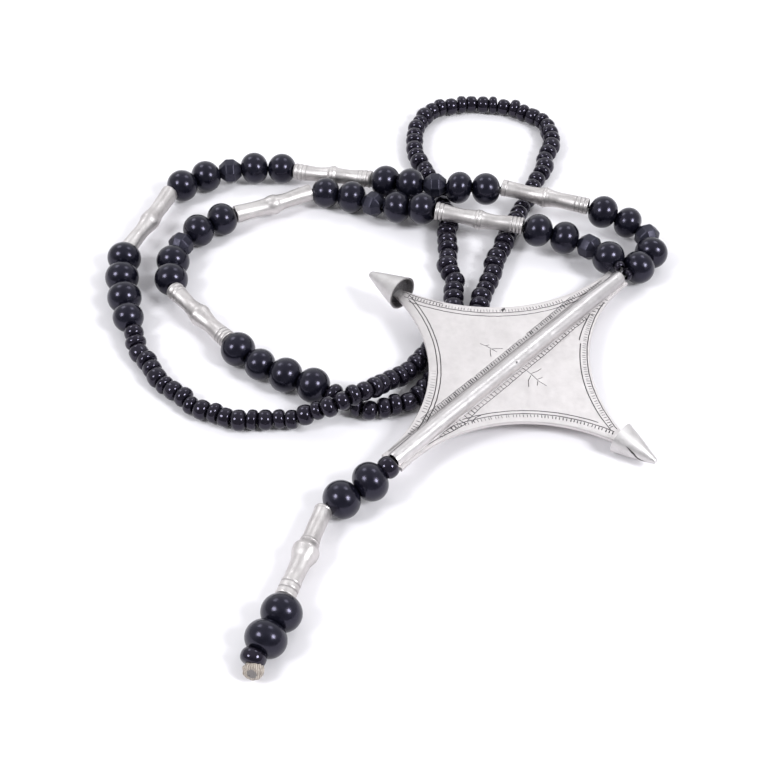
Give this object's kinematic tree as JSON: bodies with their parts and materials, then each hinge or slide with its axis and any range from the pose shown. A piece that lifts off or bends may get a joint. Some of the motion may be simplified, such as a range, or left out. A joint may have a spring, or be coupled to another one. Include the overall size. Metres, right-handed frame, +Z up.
{
  "type": "wedding necklace",
  "caption": "Necklace of black round, cut and small beads with silver bamboo tubes and a star-shaped silver pendant with cone points, lying in loose loops with one free end.",
  "frame": {"origin": "middle of the bounding box at the surface that the necklace lies on", "axes": "Z up from the surface, Y away from the viewer along the necklace's longest extent, X to the viewer's right"},
  "size_m": [0.1422, 0.1926, 0.013],
  "materials": {
    "silver": "satin silver with fine scratches",
    "black_bead": "polished",
    "cut_stone": "matte, cut in facets",
    "small_glass": "glossy, opaque",
    "thread": "twisted thread",
    "knot": "fibrous"
  },
  "bodies": {
    "root": {"pendant": "silver", "thread": "thread", "end_knot": "knot", "small_beads_inner": "small_glass", "small_beads_outer": "small_glass", "inner_tiny_1": "small_glass", "inner_bead_1": "black_bead", "inner_facet_1": "cut_stone", "inner_bead_2": "black_bead", "inner_bead_3": "black_bead", "inner_tube_1": "silver", "inner_bead_4": "black_bead", "inner_bead_5": "black_bead", "inner_facet_2": "cut_stone", "inner_bead_6": "black_bead", "inner_bead_7": "black_bead", "inner_tube_2": "silver", "inner_bead_8": "black_bead", "inner_bead_9": "black_bead", "inner_facet_3": "cut_stone", "inner_bead_10": "black_bead", "inner_bead_11": "black_bead", "inner_tube_3": "silver", "inner_bead_12": "black_bead", "inner_bead_13": "black_bead", "inner_bead_14": "black_bead", "inner_bead_15": "black_bead", "outer_tiny_1": "small_glass", "outer_bead_1": "black_bead", "outer_bead_2": "black_bead", "outer_facet_1": "cut_stone", "outer_bead_3": "black_bead", "outer_bead_4": "black_bead", "outer_tube_1": "silver", "outer_bead_5": "black_bead", "outer_bead_6": "black_bead", "outer_facet_2": "cut_stone", "outer_bead_7": "black_bead", "outer_bead_8": "black_bead", "outer_tube_2": "silver", "outer_bead_9": "black_bead", "outer_bead_10": "black_bead", "outer_facet_3": "cut_stone", "outer_bead_11": "black_bead", "outer_bead_12": "black_bead", "outer_tube_3": "silver", "outer_bead_13": "black_bead", "outer_bead_14": "black_bead", "outer_bead_15": "black_bead", "outer_bead_16": "black_bead", "tail_small_1": "small_glass", "tail_bead_1": "black_bead", "tail_bead_2": "black_bead", "tail_tube_1": "silver", "tail_bead_3": "black_bead", "tail_bead_4": "black_bead", "tail_small_2": "small_glass"}
  },
  "joints": []
}
